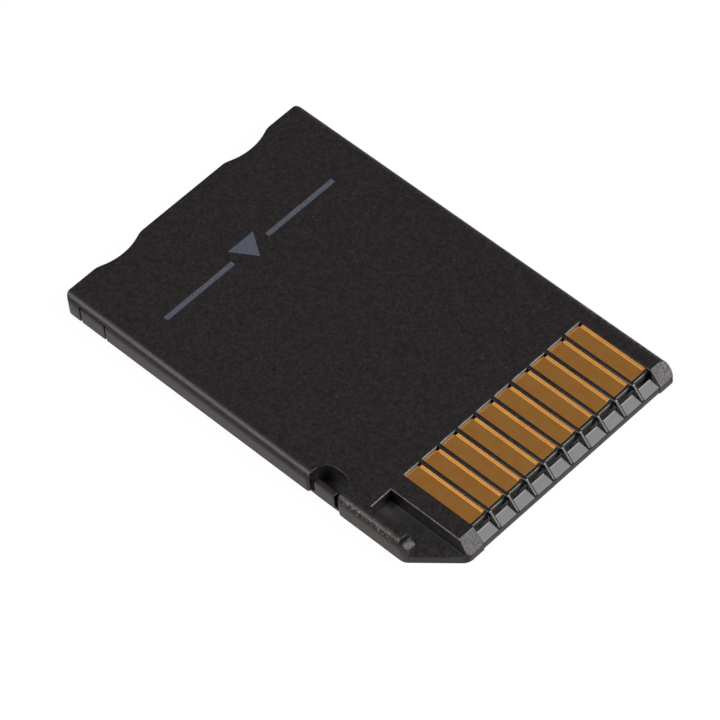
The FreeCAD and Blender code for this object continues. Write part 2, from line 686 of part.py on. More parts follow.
def main():
    os.makedirs("parts", exist_ok=True)
    export("contact_side_shell", contact_side_shell())
    export("label_side_shell", label_side_shell())
    export("circuit_board", circuit_board())
    for i in range(WINDOW_COUNT):
        export("contact_pad_%d" % (i + 1), contact_pad(i))
    export("contact_comb", contact_comb())
    for i, middle in enumerate(spring_places()):
        export("spring_contact_%d" % (i + 1), spring_contact(middle))
    leads = chip_leads()
    export("controller_leads", leads)
    export("controller_chip", controller_chip(leads))
    for i, (side, place) in enumerate(CAPACITORS):
        export("capacitor_%d" % (i + 1), passive(side, place, CAPACITOR_HEIGHT))
    for i, (side, place) in enumerate(RESISTORS):
        export("resistor_%d" % (i + 1), passive(side, place, RESISTOR_HEIGHT))


main()
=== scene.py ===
"""Looks for a flat memory card adapter: moulded shells with their mould grain, gold contact pads,
a generic insertion mark, small moulding marks, and a plain studio to see it in."""
import math

import bpy
from bpy.props import FloatProperty, FloatVectorProperty, PointerProperty
from mathutils import Matrix, Vector
from mathutils.bvhtree import BVHTree


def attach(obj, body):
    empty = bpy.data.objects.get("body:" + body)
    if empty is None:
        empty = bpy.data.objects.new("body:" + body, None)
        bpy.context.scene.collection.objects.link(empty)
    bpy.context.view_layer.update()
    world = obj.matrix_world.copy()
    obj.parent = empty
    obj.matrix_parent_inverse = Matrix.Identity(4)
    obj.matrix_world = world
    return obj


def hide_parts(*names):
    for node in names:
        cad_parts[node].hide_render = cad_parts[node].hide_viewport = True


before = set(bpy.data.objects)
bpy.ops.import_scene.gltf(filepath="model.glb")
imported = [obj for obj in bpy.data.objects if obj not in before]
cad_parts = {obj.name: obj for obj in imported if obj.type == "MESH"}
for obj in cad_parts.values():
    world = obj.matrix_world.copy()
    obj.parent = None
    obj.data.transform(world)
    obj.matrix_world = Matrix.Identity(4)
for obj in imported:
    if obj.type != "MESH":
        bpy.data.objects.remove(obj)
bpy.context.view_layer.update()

bl_info = {
    "name": "Memory card adapter looks",
    "version": (1, 0, 0),
    "blender": (4, 5, 0),
    "location": "View3D > Sidebar > Adapter",
    "description": "Finishes the shells, pads and inner parts of a card adapter in a plain studio",
    "category": "Object",
}

MM = 0.001
CARD_BODY = "card_body"

# Sockets of a Mix node set to colours, whose names repeat
MIX_FACTOR, MIX_FIRST, MIX_SECOND, MIX_RESULT = 0, 6, 7, 2

# Rounding of the shells' edges
MERGE = 1e-7
FLAT_ANGLE = math.radians(1)
EDGE_ANGLE = math.radians(30)
SMOOTH_ANGLE = math.radians(40)
EDGE_SEGMENTS = 3
EDGE_SHARE = 0.4                # most of a narrow face that a rounding may take
BEVEL_REACH = (math.sqrt(2) - 1) * 1.05     # a round's distance from its corner, with some spare
WEIGHT_ATTRIBUTE = "bevel_weight_edge"
WINDOW_ROUND_ABOVE = 0.62
RIB_ROUND = 0.09 * MM
RIB_FOOT_Z = 0.53
RIB_FADE = 0.25

# Places on the shells in millimetres
ROW_START, ROW_END = -6.5, 8.9      # the row of windows, with its end walls, along x
ROW_REAR = -9.0
SILL_REAR = -14.85
SILL_END = -14.86
SUNK_CORNER_SIDE, SUNK_CORNER_REAR = -7.3, -9.2
NOTCH_DEPTH, NOTCH_FRONT, NOTCH_REAR = -8.2, -7.6, -4.8
CARD_SIDE = 9.45
SLOT_END = 14.95
FACE_UNDER = 1.35
LID_TOP = 0.25
UNDERSIDE = 0.02

# Zones of the shells' finish in millimetres: start and end of a smooth step, or low, high and soft
ABOVE_UNDERSIDE = (0.02, 0.06)
FACE_Z = (1.5, 1.57)
WINDOWS_X, WINDOWS_Y = (-6.3, 8.78, 0.03), (-15.5, -9.0, 0.03)
REAR_WALL_Y = (-9.7, -9.6)
SILL_Y = (-14.84, -14.92)
NOSE_Y = (-14.68, -14.76)
RECESS_X, RECESS_Y, RECESS_Z = (-7.3, -7.5), (-9.2, -9.4), (1.5, 1.4)
RECESS_FOOT_X, RECESS_FOOT_Z = (-7.75, -7.6), (0.76, 0.66)
RECESS_EDGE_Z = (1.48, 1.53)
LONG_EDGE_X, LONG_EDGE_Y = (-7.5, -7.41, 0.015), (-9.24, -9.3)
REAR_EDGE_X, REAR_EDGE_Y = (-9.1, -7.44, 0.03), (-9.38, -9.29, 0.015)
CORNER_X, CORNER_Y = (-9.0, -8.0), (-11.2, -9.4)
NOTCH_X, NOTCH_Y, NOTCH_Z = (-9.44, -8.3, 0.05), (-7.5, -4.9, 0.05), (1.52, 1.42)
RIM_X, RIM_Z = (9.45, 9.6), (1.1, 1.25)
WEAR_AND_HIGHLIGHT_Y = (-6.5, -8.0)
LONG_SIDE_X, LONG_SIDE_Z = (9.4, 9.6), (0.9, 1.1)
LID_FLOOR_Y, LID_FLOOR_Z = (-13.7, -13.9), (0.4, 0.3)
ROUGHNESS_CHANGES = {
    "window": -0.2, "sill": 0.18, "rear_wall": 0.25, "nose": 0.12, "recess_foot": 0.4,
    "long_side": 0.09, "flank": 0.04,
}
FLANK_TOP_ROUGHNESS = 0.2
FINE_SHARE = 0.45               # size of the fine grain as a share of the coarse one
DOT_SPACING = 0.55

# Colours of the shells' zones, several of them painted light or painted highlights
DARK_SHARE, LIGHT_SHARE = 0.15, 2.3
DOT = (0.045, 0.04, 0.038, 1)
# Pale specks for the nose's faces that look forward and up: partly grain, partly a painted
# highlight where the key light falls
NOSE_SPECK_HIGHLIGHT_DARK = (0.008, 0.007, 0.007, 1)
NOSE_SPECK_HIGHLIGHT_LIGHT = (0.11, 0.104, 0.1, 1)
# Specks along the middle of the long side's rounding, also used for the light line on the recess
# rim: partly wear, partly a painted highlight
WEAR_AND_HIGHLIGHT_WARM = (0.1, 0.055, 0.035, 1)
WEAR_AND_HIGHLIGHT_GREY = (0.17, 0.16, 0.15, 1)
# Notch walls lighter than the moulding: painted light that lifts the shade in the latch notch
NOTCH_WALL_PAINTED_LIGHT = (0.016, 0.013, 0.013, 1)
# Grey on the ribs' sides behind the sill: painted light and sheen on smooth black flanks
RIB_SIDE_PAINTED_LIGHT = (0.06, 0.056, 0.056, 1)
# Pale lid floor at the front: painted light where it is seen in shade through the gap before the
# board
PAINTED_LIGHT_LID_FLOOR = (0.2, 0.19, 0.19, 1)
RECESS_DARK = (0.002, 0.0015, 0.0015, 1)
RECESS_LIGHT = (0.019, 0.015, 0.015, 1)
# Lighter patch in the recess's deep corner: painted light that lifts the shade there
RECESS_CORNER_PAINTED_LIGHT = (0.055, 0.048, 0.048, 1)

# Colours of the board, the leads and the small bodies
MASK_DARK = (0.005, 0.007, 0.005, 1)
MASK_LIGHT = (0.009, 0.012, 0.008, 1)
FIBRE_DARK = (0.018, 0.0175, 0.016, 1)
FIBRE_LIGHT = (0.034, 0.033, 0.031, 1)
# Light colour on the board's eased front edge: partly bare fibres, partly a painted highlight
EASED_FIBRE_AND_HIGHLIGHT = (0.13, 0.125, 0.115, 1)
TIN_DARK = (0.52, 0.53, 0.54, 1)
TIN_LIGHT = (0.7, 0.7, 0.69, 1)

# Start of the nodes' names: material, dark and light colour, roughness and how uneven it is, size
# and depth of the grain in millimetres
PLAIN_BODIES = {
    "contact_comb": (
        "comb_plastic", (0.012, 0.012, 0.013), (0.02, 0.02, 0.021), 0.45, 0.15, 0.1, 0.004),
    "controller_chip": (
        "chip_mould", (0.014, 0.014, 0.015), (0.026, 0.026, 0.027), 0.6, 0.15, 0.05, 0.004),
    "capacitor_": (
        "capacitor_ceramic", (0.32, 0.2, 0.11), (0.4, 0.27, 0.16), 0.5, 0.2, 0.06, 0.003),
    "resistor_": (
        "resistor_ceramic", (0.02, 0.02, 0.022), (0.05, 0.05, 0.055), 0.5, 0.2, 0.06, 0.003),
}

# The printed mark: gap and slant as shares, soft edges of the ink in millimetres
MARK_GAP = 0.85
MARK_SLANT = 0.62
INK_SOFT = 0.02
INK_EDGE = 0.03

# Studio
LAMP_DISTANCE = 0.6
FLOOR_SIZE = 6
SENSOR_WIDTH = 36
WHITE = (1, 1, 1, 1)
FLOOR_MATT = (0.88, 0.88, 0.88, 1)
FLOOR_IN_GLOSS = (1, 0.93, 0.9, 1)

# Thin web of the lid at the mouth of the latch notch
WEB_LOW = Vector((-9.85, -7.37, 0.008))
WEB_HIGH = Vector((-9.37, -5.04, 0.235))
WEB_ROUND = 0.03


class Value:
    """A shader socket that takes the arithmetic signs, each of which adds a Math node."""

    def __init__(self, finish, socket):
        self.finish = finish
        self.socket = socket

    def math(self, operation, first, second=0.0):
        return self.finish.node("ShaderNodeMath", {"operation": operation}, {0: first, 1: second})

    def __add__(self, other):
        return self.math("ADD", self, other)

    def __radd__(self, other):
        return self.math("ADD", other, self)

    def __sub__(self, other):
        return self.math("SUBTRACT", self, other)

    def __rsub__(self, other):
        return self.math("SUBTRACT", other, self)

    def __mul__(self, other):
        return self.math("MULTIPLY", self, other)

    def __rmul__(self, other):
        return self.math("MULTIPLY", other, self)

    def __neg__(self):
        return self.math("MULTIPLY", self, -1.0)

    def __abs__(self):
        return self.math("ABSOLUTE", self)

    def either(self, other):
        return self.math("MAXIMUM", self, other)

    def both(self, other):
        return self.math("MINIMUM", self, other)

    def rise(self, start, end):
        """0 before start and 1 past end, with a smooth step between. Start may lie above end."""
        low, high = min(start, end), max(start, end)
        step = self.finish.node(
            "ShaderNodeMapRange", {"interpolation_type": "SMOOTHSTEP"},
            {"Value": self, "From Min": low, "From Max": high, "To Min": 0.0, "To Max": 1.0})
        return step if start < end else 1 - step

    def within(self, low, high, soft):
        """1 between low and high, fading out over a soft width on each side."""
        return self.rise(low - soft, low + soft) * self.rise(high + soft, high - soft)


class Finish:
    """One material, built from nodes by a single method."""

    def __init__(self, name):
        self.material = bpy.data.materials.new(name)
        self.material.use_nodes = True
        self.tree = self.material.node_tree
        self.tree.nodes.clear()
        self.output = self.tree.nodes.new("ShaderNodeOutputMaterial")

    def node(self, kind, settings=None, sockets=None, out=0):
        """Adds a node, sets it up, gives its sockets values or links, and returns one output."""
        node = self.tree.nodes.new(kind)
        for key, value in (settings or {}).items():
            setattr(node, key, value)
        for key, value in (sockets or {}).items():
            if isinstance(value, Value):
                self.tree.links.new(value.socket, node.inputs[key])
            else:
                node.inputs[key].default_value = value
        return Value(self, node.outputs[out])

    def place(self):
        """The point on the piece, in the piece's own millimetres."""
        metres = self.node("ShaderNodeTexCoord", out="Object")
        return self.node(
            "ShaderNodeVectorMath", {"operation": "SCALE"}, {0: metres, "Scale": 1 / MM})

    def facing(self):
        """The surface's own outward direction."""
        return self.node("ShaderNodeTexCoord", out="Normal")

    def split(self, vector):
        """The x, y and z of a vector."""
        parts = self.node("ShaderNodeSeparateXYZ", sockets={0: vector})
        return [Value(self, output) for output in parts.socket.node.outputs]

    def stretched(self, point, scale):
        """The point with each axis scaled by itself, for a pattern drawn out along an axis."""
        return self.node("ShaderNodeVectorMath", {"operation": "MULTIPLY"}, {0: point, 1: scale})

    def noise(self, point, size, detail=2.0, roughness=0.5):
        """Soft noise from 0 to 1 whose blotches are about the given size in millimetres."""
        return self.node("ShaderNodeTexNoise", {"noise_dimensions": "3D"}, {
            "Vector": point, "Scale": 1 / size, "Detail": detail, "Roughness": roughness})

    def cells(self, point, size):
        """Distance to the nearest of scattered points about the given size apart."""
        return self.node("ShaderNodeTexVoronoi", sockets={"Vector": point, "Scale": 1 / size})

    def blend(self, factor, first, second):
        """A colour between two colours."""
        return self.node(
            "ShaderNodeMix", {"data_type": "RGBA"},
            {MIX_FACTOR: factor, MIX_FIRST: first, MIX_SECOND: second}, out=MIX_RESULT)

    def bump(self, height, depth):
        """A normal from a height that runs from 0 to 1 over the given depth in millimetres."""
        return self.node(
            "ShaderNodeBump", sockets={"Strength": 1.0, "Distance": depth * MM, "Height": height})

    def surface(self, **sockets):
        """Puts a Principled shader on the material, with sockets named by words joined with _."""
        named = {key.replace("_", " "): value for key, value in sockets.items()}
        shader = self.node("ShaderNodeBsdfPrincipled", sockets=named)
        self.tree.links.new(shader.socket, self.output.inputs["Surface"])
        return self.material


def opaque(colour):
    return (*colour[:3], 1.0)


class ShellLook(bpy.types.PropertyGroup):
    """Sizes and colours of the two moulded shells."""
    plastic: FloatVectorProperty(
        name="Plastic", description="Colour of the black moulding", subtype="COLOR",
        size=3, min=0, max=1, default=(0.0057, 0.0034, 0.0038))
    edge_round: FloatProperty(
        name="Edge round", description="Radius left on the moulded edges", unit="LENGTH",
        default=0.045 * MM, min=0)
    window_round: FloatProperty(
        name="Window round", description="Radius left on the rims of the contact windows",
        unit="LENGTH", default=0.1 * MM, min=0)
    grain_size: FloatProperty(
        name="Grain size", description="Size of the mould's spark grain, in millimetres",
        default=0.24, min=0.01)
    grain_depth: FloatProperty(
        name="Grain depth", description="Depth of the mould's spark grain, in millimetres",
        default=0.0135, min=0)
    roughness: FloatProperty(
        name="Roughness", description="Roughness of the grained plastic", subtype="FACTOR",
        default=0.36, min=0, max=1)


class MarkLook(bpy.types.PropertyGroup):
    """The printed insertion mark: a triangle between two bars."""
    ink: FloatVectorProperty(
        name="Ink", description="Colour of the pad-printed mark", subtype="COLOR",
        size=3, min=0, max=1, default=(0.058, 0.066, 0.086))
    centre: FloatVectorProperty(
        name="Centre", description="Middle of the mark on the face, in millimetres",
        size=2, default=(-0.17, 9.49))
    half_length: FloatProperty(
        name="Half length", description="Half the length across the card, in millimetres",
        default=7.1)
    height: FloatProperty(
        name="Height", description="Height of the triangle along the card, in millimetres",
        default=1.7)
    stroke: FloatProperty(
        name="Stroke", description="Width of the bars, in millimetres", default=0.32)


class PadLook(bpy.types.PropertyGroup):
    """The gold contact pads."""
    gold: FloatVectorProperty(
        name="Gold", description="Colour of the plated pads", subtype="COLOR",
        size=3, min=0, max=1, default=(0.95, 0.455, 0.115))
    roughness: FloatProperty(
        name="Roughness", description="Roughness of the plating", subtype="FACTOR",
        default=0.1, min=0, max=1)


class StudioLook(bpy.types.PropertyGroup):
    """Camera, lamps and floor."""
    azimuth: FloatProperty(
        name="Azimuth", description="Camera's direction round the card", subtype="ANGLE",
        default=math.radians(-40.393))
    elevation: FloatProperty(
        name="Elevation", description="Camera's height above the card", subtype="ANGLE",
        default=math.radians(51.722))
    roll: FloatProperty(
        name="Roll", description="Turn of the camera about its own axis", subtype="ANGLE",
        default=math.radians(-6.717))
    distance: FloatProperty(
        name="Distance", description="Camera to the card's origin along its axis", unit="LENGTH",
        default=290.526 * MM)
    aim: FloatVectorProperty(
        name="Aim", description="How far right and up of the card's origin the camera looks",
        size=2, unit="LENGTH", default=(-0.431 * MM, -0.8608 * MM))
    lens: FloatProperty(
        name="Lens", description="Focal length in millimetres on a 36 mm frame", default=245.18)
    key_light: FloatProperty(
        name="Key light", description="Power of the soft box at the front right",
        unit="POWER", default=3.0)
    side_light: FloatProperty(
        name="Side light", description="Power of the soft box at the rear left",
        unit="POWER", default=2.45)
    front_light: FloatProperty(
        name="Front light", description="Power of the low soft box in front",
        unit="POWER", default=1.6)
    sky: FloatProperty(
        name="Sky", description="Brightness of the dim room above the card", default=0.25, min=0)
    floor_mirrored: FloatProperty(
        name="Floor mirrored", description="Brightness of the floor in the card's gloss",
        default=0.74, min=0)
    floor_shade: FloatProperty(
        name="Floor shade", description="Share of the floor's brightness that takes shadows",
        subtype="FACTOR", default=0.04, min=0, max=1)


def deselect_all():
    if bpy.context.object and bpy.context.object.mode != "OBJECT":
        bpy.ops.object.mode_set(mode="OBJECT")
    for item in bpy.context.selected_objects:
        item.select_set(False)


def make_active(piece):
    deselect_all()
    piece.select_set(True)
    bpy.context.view_layer.objects.active = piece


def edit_all(piece):
    make_active(piece)
    bpy.ops.object.mode_set(mode="EDIT")
    bpy.ops.mesh.select_all(action="SELECT")


def end_edit():
    bpy.ops.object.mode_set(mode="OBJECT")


def settle(piece):
    """Moves the piece's place and size into its mesh."""
    make_active(piece)
    bpy.ops.object.transform_apply(location=True, rotation=True, scale=True)


def finish_modifier(piece, kind, **settings):
    make_active(piece)
    modifier = piece.modifiers.new(kind.lower(), kind)
    for key, value in settings.items():
        setattr(modifier, key, value)
    bpy.ops.object.modifier_apply(modifier=modifier.name)


def carry(piece, body=CARD_BODY):
    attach(piece, body)


def in_sight(point):
    """Whether a point in millimetres lies on the outside, where an edge is worth rounding."""
    x, y, z = point
    outside = abs(x) > CARD_SIDE or y > SLOT_END or y < SILL_END
    sunk_corner = x < SUNK_CORNER_SIDE and y < SUNK_CORNER_REAR
    notch = x < NOTCH_DEPTH and NOTCH_FRONT < y < NOTCH_REAR
    return z > FACE_UNDER or z < UNDERSIDE or outside or sunk_corner or notch


def wanted_round(point, look):
    """Rounding for an edge at a point in millimetres: wide at windows, none at the ribs' feet."""
    x, y, z = point
    in_row = ROW_START < x < ROW_END and y < ROW_REAR
    if in_row and y < SILL_REAR and z > LID_TOP:
        return RIB_ROUND * min(1, max(0, (z - RIB_FOOT_Z) / RIB_FADE))
    if in_row and z > WINDOW_ROUND_ABOVE:
        return look.window_round
    return look.edge_round


def reach_from_edge(edge_start, along, points):
    """How far a face reaches out from one of its edges."""
    offsets = [point - edge_start for point in points]
    return max((offset - along * along.dot(offset)).length for offset in offsets)


def mark_edges(piece, look):
    """Weights the outer, outward edges for rounding, less where a face beside them is narrow."""
    mesh = piece.data
    sides = {}
    for face in mesh.polygons:
        for key in face.edge_keys:
            sides.setdefault(key, []).append(face)
    weights = mesh.attributes.new(WEIGHT_ATTRIBUTE, "FLOAT", "EDGE")
    for edge in mesh.edges:
        first, second = sides[edge.key]
        corners = list(first.vertices)
        forward = corners[corners.index(edge.vertices[0]) - 1] != edge.vertices[1]
        start, end = (mesh.vertices[i].co for i in edge.vertices)
        turn = first.normal.cross(second.normal).dot(end - start)
        outward = turn > 0 if forward else turn < 0
        sharp = first.normal.angle(second.normal) > EDGE_ANGLE
        middle = (start + end) / 2 / MM
        if outward and sharp and in_sight(middle):
            along = (end - start).normalized()
            room = min(
                reach_from_edge(start, along, [mesh.vertices[i].co for i in face.vertices])
                for face in (first, second))
            width = min(wanted_round(middle, look), EDGE_SHARE * room)
            weights.data[edge.index].value = width / look.window_round


def pull_back(piece, source, reach):
    """Puts corners that the rounding threw off the form back on it, and all corners in its box."""
    corners = [v.co / MM for v in source.data.vertices]
    surface = BVHTree.FromPolygons(corners, [face.vertices for face in source.data.polygons])
    low = [min(values) for values in zip(*corners)]
    high = [max(values) for values in zip(*corners)]
    for vertex in piece.data.vertices:
        point, _, _, distance = surface.find_nearest(vertex.co / MM)
        kept = point if distance * MM > reach else vertex.co / MM
        inside = [min(max(value, least), most) for value, least, most in zip(kept, low, high)]
        vertex.co = Vector(inside) * MM


def rounded_copy(node_name, piece_name, look):
    """A copy of a node with its facets merged and its outer edges truly rounded."""
    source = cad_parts[node_name]
    piece = bpy.data.objects.new(piece_name, source.data.copy())
    bpy.context.scene.collection.objects.link(piece)
    edit_all(piece)
    bpy.ops.mesh.customdata_custom_splitnormals_clear()
    bpy.ops.mesh.remove_doubles(threshold=MERGE)
    bpy.ops.mesh.dissolve_limited(angle_limit=FLAT_ANGLE)
    end_edit()
    mark_edges(piece, look)
    finish_modifier(
        piece, "BEVEL", width=look.window_round, segments=EDGE_SEGMENTS,
        limit_method="WEIGHT", use_clamp_overlap=False)
    pull_back(piece, source, look.window_round * BEVEL_REACH)
    make_active(piece)
    bpy.ops.object.shade_smooth_by_angle(angle=SMOOTH_ANGLE)
    finish_modifier(piece, "WEIGHTED_NORMAL", mode="FACE_AREA", weight=100, keep_sharp=True)
    return piece


def insertion_mark(x, y, mark):
    """1 inside the printed mark: a triangle that points at the contacts, between two bars."""
    sideways = abs(x - mark.centre[0])
    along = y - mark.centre[1]
    gap = mark.height * MARK_GAP
    half_stroke = mark.stroke / 2
    half_height = mark.height / 2
    bars = sideways.within(gap, mark.half_length, INK_SOFT)
    bars = bars * abs(along).rise(half_stroke + INK_EDGE, half_stroke)
    slant = sideways - (along + half_height) * MARK_SLANT
    triangle = slant.rise(INK_SOFT, -INK_SOFT)
    triangle = triangle * abs(along).rise(half_height + INK_SOFT, half_height - INK_SOFT)
    return bars.either(triangle)


def shell_zones(x, y, z, fx, fy, fz):
    """Masks from 0 to 1 that tell the parts of the shells' surface apart.

    The place x, y and z is in millimetres, and fx, fy and fz, the way the surface faces, run
    from -1 to 1.
    """
    raised = z.rise(*ABOVE_UNDERSIDE)
    face = z.rise(*FACE_Z) * fz.rise(0.85, 0.98)
    window = x.within(*WINDOWS_X) * y.within(*WINDOWS_Y) * (1 - face) * raised
    # The nose's faces that look forward and up, whose colour carries a painted highlight
    nose = y.rise(*NOSE_Y) * (1 - window) * (-fy).rise(0.3, 0.6) * fz.rise(0.2, 0.4)
    recess = x.rise(*RECESS_X) * y.rise(*RECESS_Y) * z.rise(*RECESS_Z) * raised
    side_rim = abs(x).rise(*RIM_X) * z.rise(*RIM_Z)
    notch = x.within(*NOTCH_X) * y.within(*NOTCH_Y) * z.rise(*NOTCH_Z) * raised
    long_edge = x.within(*LONG_EDGE_X).both(y.rise(*LONG_EDGE_Y))
    rear_edge = y.within(*REAR_EDGE_Y) * x.within(*REAR_EDGE_X)
    behind_board = window * y.rise(*SILL_Y)
    return {
        "face": face,
        "window": window,
        "nose": nose,
        # Middle of the long side's rounding near the front, where the specks are partly wear,
        # partly a painted highlight
        "worn_and_highlight": side_rim * y.rise(*WEAR_AND_HIGHLIGHT_Y) * fz.within(0.35, 0.9, 0.15),
        "notch": notch,
        # Top edges of the recess rim, which get a light line that is partly a worn edge, partly a
        # painted highlight
        "recess_edge": long_edge.either(rear_edge) * z.rise(*RECESS_EDGE_Z),
        "recess_floor": recess * fz.rise(0.5, 0.95),
        "recess_foot": recess * z.rise(*RECESS_FOOT_Z) * x.rise(*RECESS_FOOT_X),
        # Deep corner of the recess, which gets a patch of painted light
        "recess_corner": y.rise(*CORNER_Y) * x.rise(*CORNER_X),
        # Ribs' sides behind the sill, which get painted light in their colour
        "rib_side": behind_board * abs(fx).rise(0.5, 0.9),
        "sill": behind_board * fz.rise(0.6, 0.8),
        "flank": window * abs(fx).rise(0.7, 0.95),
        "rear_wall": window * y.rise(*REAR_WALL_Y) * (-fy).rise(0.7, 0.95),
        # The lid's inner floor at the front, seen through the gap before the board, which gets
        # painted light
        "lid_floor": z.rise(*LID_FLOOR_Z) * fz.rise(0.8, 0.95) * y.rise(*LID_FLOOR_Y),
        "long_side": abs(x).rise(*LONG_SIDE_X) * z.rise(*LONG_SIDE_Z),
    }


def shell_colour(finish, look, zones, grain, fine, rough_skin, point):
    """Colour of the moulding: mottled black with light dots, worn specks and painted highlights on
    the nose, rim and recess edges, and painted light in the notch, on the ribs' sides, the lid
    floor and the recess corner.
    """
    speck = (grain * 0.5 + fine * 0.5).rise(0.36, 0.66)
    dots = finish.cells(point, DOT_SPACING).rise(0.16, 0.06) * fine.rise(0.35, 0.6)
    darkest = opaque([share * DARK_SHARE for share in look.plastic])
    lightest = opaque([share * LIGHT_SHARE for share in look.plastic])
    colour = finish.blend(speck * rough_skin, darkest, lightest)
    colour = finish.blend(dots * rough_skin * 0.5, colour, DOT)
    # Pale specks on the nose's forward-and-up faces: partly grain, partly a painted highlight
    pale = finish.blend((grain * 0.4 + fine * 0.6).rise(0.38, 0.62), NOSE_SPECK_HIGHLIGHT_DARK, NOSE_SPECK_HIGHLIGHT_LIGHT)
    colour = finish.blend(zones["nose"] * 0.7, colour, pale)
    # Specks where the rim's rounding catches the light: partly wear, partly a painted highlight
    wear_and_highlight_specks = finish.blend(grain.rise(0.42, 0.55), WEAR_AND_HIGHLIGHT_WARM, WEAR_AND_HIGHLIGHT_GREY)
    colour = finish.blend(zones["worn_and_highlight"] * fine.rise(0.5, 0.66), colour, wear_and_highlight_specks)
    # A light line on the recess rim's top edges: partly a worn edge, partly a painted highlight
    colour = finish.blend(zones["recess_edge"] * (0.35 + speck * 0.65), colour, WEAR_AND_HIGHLIGHT_GREY)
    # Painted light in the latch notch: its walls lighter than the rest of the moulding
    colour = finish.blend(zones["notch"], colour, NOTCH_WALL_PAINTED_LIGHT)
    # Painted light on the ribs' sides behind the sill, which would otherwise mirror only dark
    colour = finish.blend(zones["rib_side"], colour, RIB_SIDE_PAINTED_LIGHT)
    # Painted light on the lid's inner floor, seen in shade through the gap before the board
    colour = finish.blend(zones["lid_floor"], colour, PAINTED_LIGHT_LID_FLOOR)
    floor = finish.blend(speck, RECESS_DARK, RECESS_LIGHT)
    # Painted light in the recess's deep corner, which lies in shade from every lamp
    floor = finish.blend(zones["recess_corner"] * (0.4 + speck * 0.6), floor, RECESS_CORNER_PAINTED_LIGHT)
    return finish.blend(zones["recess_floor"], colour, floor)


def black_plastic(look, mark):
    """Black moulding: grained face, smooth windows, speckled corner pads with a painted highlight,
    painted light in some hollows and on the ribs' sides, and the printed mark.
    """
    finish = Finish("black_moulding")
    point = finish.place()
    x, y, z = finish.split(point)
    zones = shell_zones(x, y, z, *finish.split(finish.facing()))
    grain = finish.noise(point, look.grain_size, 3.0, 0.6)
    fine = finish.noise(point, look.grain_size * FINE_SHARE, 2.0, 0.6)
    rough_skin = (1 - zones["window"]) * (1 - zones["notch"] * 0.7)
    colour = shell_colour(finish, look, zones, grain, fine, rough_skin, point)
    ink = insertion_mark(x, y, mark) * zones["face"] * fine.rise(0.2, 0.5)
    colour = finish.blend(ink, colour, opaque(mark.ink))
    roughness = look.roughness + (grain - 0.5) * 0.2 * rough_skin
    for zone, change in ROUGHNESS_CHANGES.items():
        roughness = roughness + zones[zone] * change
    roughness = roughness + zones["flank"] * z.rise(1.36, 1.6) * FLANK_TOP_ROUGHNESS
    height = (grain * 0.65 + fine * 0.35) * (rough_skin + 1.6 * zones["worn_and_highlight"])
    return finish.surface(
        Base_Color=colour, Roughness=roughness, IOR=1.5,
        Normal=finish.bump(height, look.grain_depth))


def plated_gold(name, look, roughness):
    """Gold plating with fine lines along the card and faint warm blotches."""
    finish = Finish(name)
    point = finish.place()
    lines = finish.noise(finish.stretched(point, (1.0, 0.05, 1.0)), 0.05, 3.0)
    blotch = finish.noise(point, 0.7, 4.0)
    warm = opaque([look.gold[0], look.gold[1] * 0.86, look.gold[2] * 0.8])
    colour = finish.blend(blotch.rise(0.35, 0.75), opaque(look.gold), warm)
    return finish.surface(
        Base_Color=colour, Metallic=1.0, Roughness=roughness + (lines - 0.5) * 0.08,
        Normal=finish.bump(lines, 0.0008))


def laminate():
    """Glass-fibre board under dark solder mask, with light fibres along the eased front edge that
    are partly a painted highlight.
    """
    finish = Finish("board_laminate")
    point = finish.place()
    upward = finish.split(finish.facing())[2]
    warp = finish.noise(finish.stretched(point, (1.0, 0.2, 1.0)), 0.1)
    weft = finish.noise(finish.stretched(point, (0.2, 1.0, 1.0)), 0.1)
    weave = warp * 0.5 + weft * 0.5
    mask = finish.blend(weave, MASK_DARK, MASK_LIGHT)
    fibre = finish.blend(weave, FIBRE_DARK, FIBRE_LIGHT)
    cut = abs(upward).rise(0.9, 0.8)
    eased = cut * upward.within(0.5, 0.85, 0.05)
    colour = finish.blend(cut, mask, fibre)
    # The eased front edge lighter: partly bare fibres, partly a painted highlight
    colour = finish.blend(eased * weave.rise(0.35, 0.6), colour, EASED_FIBRE_AND_HIGHLIGHT)
    return finish.surface(
        Base_Color=colour, Roughness=0.25 + cut * 0.3, Normal=finish.bump(weave, 0.002))


def plain_body(name, dark, light, roughness, uneven, grain_size, grain_depth):
    """A moulded or fired body with a fine grain, whose size and depth are in millimetres."""
    finish = Finish(name)
    grain = finish.noise(finish.place(), grain_size, 3.0)
    return finish.surface(
        Base_Color=finish.blend(grain, opaque(dark), opaque(light)),
        Roughness=roughness + (grain - 0.5) * uneven, Normal=finish.bump(grain, grain_depth))


def tinned_metal():
    """Tin plating, slightly uneven."""
    finish = Finish("tinned_lead")
    ripple = finish.noise(finish.place(), 0.12, 3.0)
    return finish.surface(
        Base_Color=finish.blend(ripple, TIN_DARK, TIN_LIGHT), Metallic=1.0,
        Roughness=0.25 + ripple * 0.2, Normal=finish.bump(ripple, 0.006))


def dress(start, material):
    """Gives the carried-over nodes whose names begin with start their material."""
    for name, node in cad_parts.items():
        if name.startswith(start):
            for slot in node.material_slots:
                slot.material = material


class ADAPTER_OT_shells(bpy.types.Operator):
    """Make both moulded shells with rounded edges and their grained black finish"""
    bl_idname = "adapter.shells"
    bl_label = "Moulded shells"

    def execute(self, context):
        looks = context.scene.adapter
        material = black_plastic(looks.shell, looks.mark)
        for node_name, piece_name in (("contact_side_shell", "contact_side_moulding"),
                                      ("label_side_shell", "label_side_moulding")):
            piece = rounded_copy(node_name, piece_name, looks.shell)
            piece.data.materials.clear()
            piece.data.materials.append(material)
            carry(piece)
            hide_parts(node_name)
        return {"FINISHED"}


